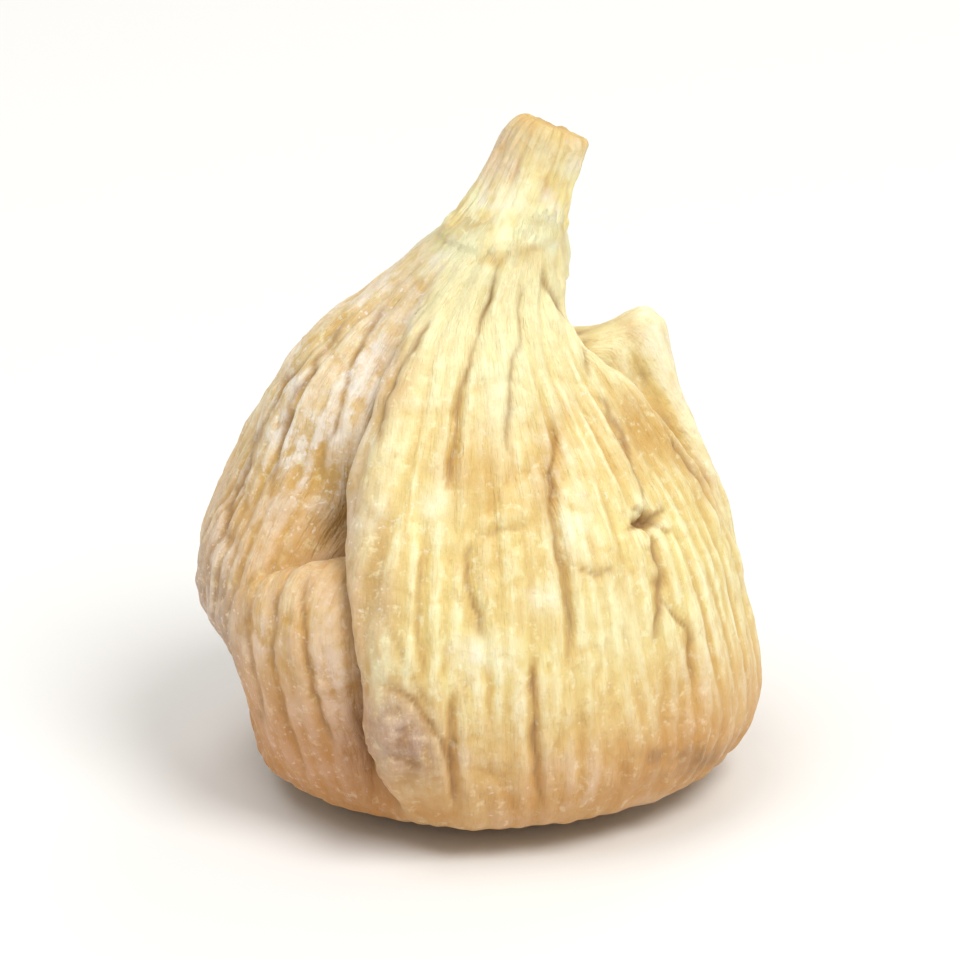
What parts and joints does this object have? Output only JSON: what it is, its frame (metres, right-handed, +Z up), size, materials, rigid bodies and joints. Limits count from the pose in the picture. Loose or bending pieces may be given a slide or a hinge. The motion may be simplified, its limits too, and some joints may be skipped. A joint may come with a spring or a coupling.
{
  "type": "dried fig",
  "caption": "Whole dried fig, a squat wrinkled pear-shaped fruit that stands on its flattened eye end, with a short cut stem on its leaning neck.",
  "frame": {"origin": "middle of the fig's box on the surface it stands on, under the flattened eye end of the fruit", "axes": "+Z up towards the stem, -Y is the front with the deep fold, +X is the right-hand side seen from the front, where the stem leans"},
  "size_m": [0.0386, 0.035, 0.0459],
  "materials": {
    "fig_skin": "dry wrinkled skin, straw yellow to tan, dusted with pale sugar bloom",
    "fig_stem": "dry woody stem, pale straw, darker at the cut end"
  },
  "bodies": {
    "root": {"fruit": "fig_skin", "stem": "fig_stem"}
  },
  "joints": []
}
